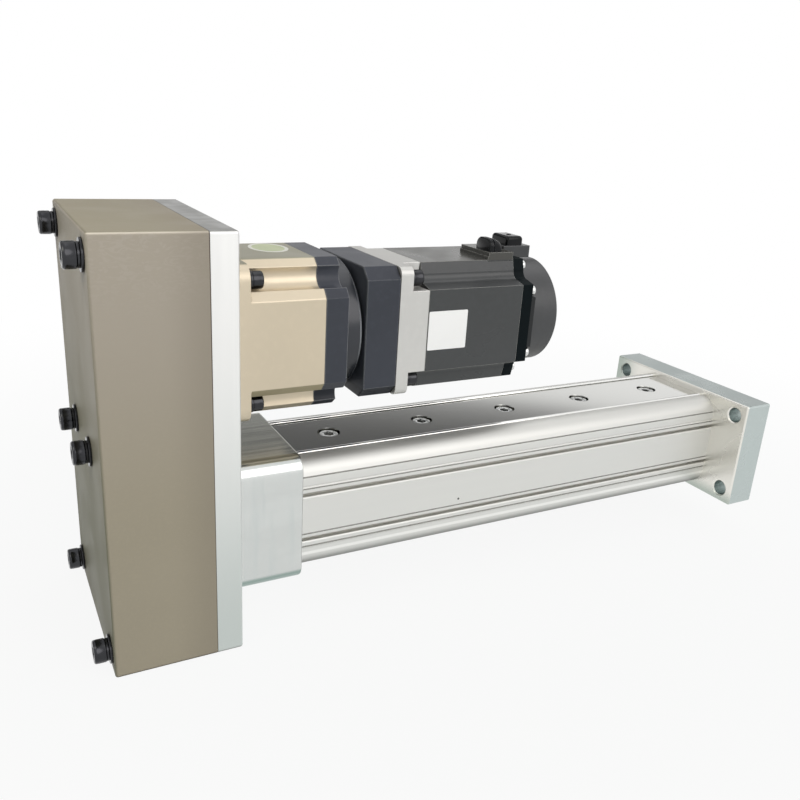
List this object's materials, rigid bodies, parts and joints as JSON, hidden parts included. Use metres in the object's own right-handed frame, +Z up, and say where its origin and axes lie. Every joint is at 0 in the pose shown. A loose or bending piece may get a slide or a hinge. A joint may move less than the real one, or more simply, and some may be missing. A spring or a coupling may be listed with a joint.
{
  "type": "electric cylinder",
  "caption": "Electric cylinder with a servo motor mounted beside it, planetary gearbox, belt drive in an end box, square extruded tube and front flange.",
  "frame": {"origin": "middle of the front flange's outer face, on the rod axis", "axes": "+X the way the rod extends, +Z up from the cylinder to the motor"},
  "size_m": [0.5304, 0.144, 0.243],
  "materials": {
    "taupe_cover": "taupe anodised, fine satin",
    "silver_plate": "clear anodised, milled",
    "silver_tube": "clear anodised extrusion, satin",
    "champagne": "champagne anodised, satin",
    "black_anodised": "black anodised, satin",
    "motor_light": "cast and machined, light grey",
    "motor_dark": "dark grey anodised extrusion",
    "motor_black": "black painted casting",
    "black_screws": "black oxide",
    "bright_screws": "zinc plated",
    "bearing_steel": "ground",
    "machine_steel": "machined",
    "pulley_alloy": "machined",
    "rod_chrome": "hard chromed, polished",
    "bronze": "turned bronze",
    "black_rubber": "black, matte",
    "inner_plastic": "matte",
    "black_plastic": "glossy black"
  },
  "bodies": {
    "frame": {"drive_cover": "taupe_cover", "cover_screws": "black_screws", "mount_plate": "silver_plate", "bearing_block": "silver_plate", "block_screws": "black_screws", "bearing_retainer": "machine_steel", "screw_bearing_outer_rings": "bearing_steel", "cylinder_tube": "silver_tube", "guide_rail": "machine_steel", "guide_rail_screws": "bright_screws", "stroke_buffers": "black_rubber", "front_flange": "silver_plate", "flange_screws": "black_screws", "rod_bush": "bronze", "rod_seals": "black_rubber", "timing_belt": "black_rubber", "gearbox_housing": "champagne", "gearbox_screws": "black_screws", "gearbox_seal": "black_rubber", "gearbox_bearing_outer_rings": "bearing_steel", "gearbox_ring": "black_anodised", "gearbox_input_cover": "black_anodised", "motor_adapter": "black_anodised", "adapter_screws": "black_screws", "motor_flange": "motor_light", "motor_screws": "black_screws", "motor_body": "motor_dark", "stator": "machine_steel", "motor_bearing_outer_rings": "bearing_steel", "rear_plate": "motor_black", "rear_screws": "bright_screws", "encoder_cover": "motor_dark", "signal_socket": "black_plastic", "power_plug": "black_plastic", "signal_plug": "black_plastic"},
    "motor_rotor": {"motor_shaft": "machine_steel", "rotor_magnets": "machine_steel", "motor_bearing_inner_rings": "bearing_steel", "encoder_disc": "inner_plastic", "sun_gear": "machine_steel"},
    "carrier": {"planet_carrier": "machine_steel", "gearbox_bearing_inner_rings": "bearing_steel", "drive_pulley": "pulley_alloy", "drive_key": "machine_steel"},
    "planet_1": {"planet_gear_1": "machine_steel"},
    "planet_2": {"planet_gear_2": "machine_steel"},
    "planet_3": {"planet_gear_3": "machine_steel"},
    "screw": {"ball_screw": "machine_steel", "screw_key": "machine_steel", "screw_tip_bush": "inner_plastic", "screw_lock_nut": "machine_steel", "screw_bearing_inner_rings": "bearing_steel", "driven_pulley": "pulley_alloy"},
    "bearing_balls": {"screw_bearing_balls": "bearing_steel"},
    "rod": {"piston": "pulley_alloy", "piston_rings": "inner_plastic", "ball_nut": "machine_steel", "nut_screws": "black_screws", "rod_tube": "rod_chrome", "rod_end": "rod_chrome"}
  },
  "joints": [
    {"name": "motor_spin", "type": "hinge", "parent": "frame", "child": "motor_rotor", "pos_m": [-0.3, 0, 0.112], "axis": [-1, 0, 0], "range_deg": [0, 39679.2], "deforming": ["timing_belt"]},
    {"name": "carrier_spin", "type": "hinge", "parent": "frame", "child": "carrier", "pos_m": [-0.4, 0, 0.112], "axis": [-1, 0, 0], "range_deg": [0, 7935.84]},
    {"name": "planet_1_spin", "type": "hinge", "parent": "carrier", "child": "planet_1", "pos_m": [-0.356, 0, 0.1345], "axis": [-1, 0, 0], "range_deg": [-21162.24, 0]},
    {"name": "planet_2_spin", "type": "hinge", "parent": "carrier", "child": "planet_2", "pos_m": [-0.356, -0.01949, 0.10075], "axis": [-1, 0, 0], "range_deg": [-21162.24, 0]},
    {"name": "planet_3_spin", "type": "hinge", "parent": "carrier", "child": "planet_3", "pos_m": [-0.356, 0.01949, 0.10075], "axis": [-1, 0, 0], "range_deg": [-21162.24, 0]},
    {"name": "screw_spin", "type": "hinge", "parent": "frame", "child": "screw", "pos_m": [-0.4, 0, 0], "axis": [-1, 0, 0], "range_deg": [0, 7935.84]},
    {"name": "ball_orbit", "type": "hinge", "parent": "frame", "child": "bearing_balls", "pos_m": [-0.4, 0, 0], "axis": [-1, 0, 0], "range_deg": [0, 3138.8]},
    {"name": "rod_slide", "type": "slide", "parent": "frame", "child": "rod", "axis": [1, 0, 0], "range_m": [0, 0.22]}
  ],
  "couplings": [
    {"joint": "motor_spin", "follows": "rod_slide", "rad_per_m": 3141.6},
    {"joint": "carrier_spin", "follows": "rod_slide", "rad_per_m": 628.32},
    {"joint": "planet_1_spin", "follows": "rod_slide", "rad_per_m": -1675.5},
    {"joint": "planet_2_spin", "follows": "rod_slide", "rad_per_m": -1675.5},
    {"joint": "planet_3_spin", "follows": "rod_slide", "rad_per_m": -1675.5},
    {"joint": "screw_spin", "follows": "rod_slide", "rad_per_m": 628.32},
    {"joint": "ball_orbit", "follows": "rod_slide", "rad_per_m": 248.51}
  ]
}
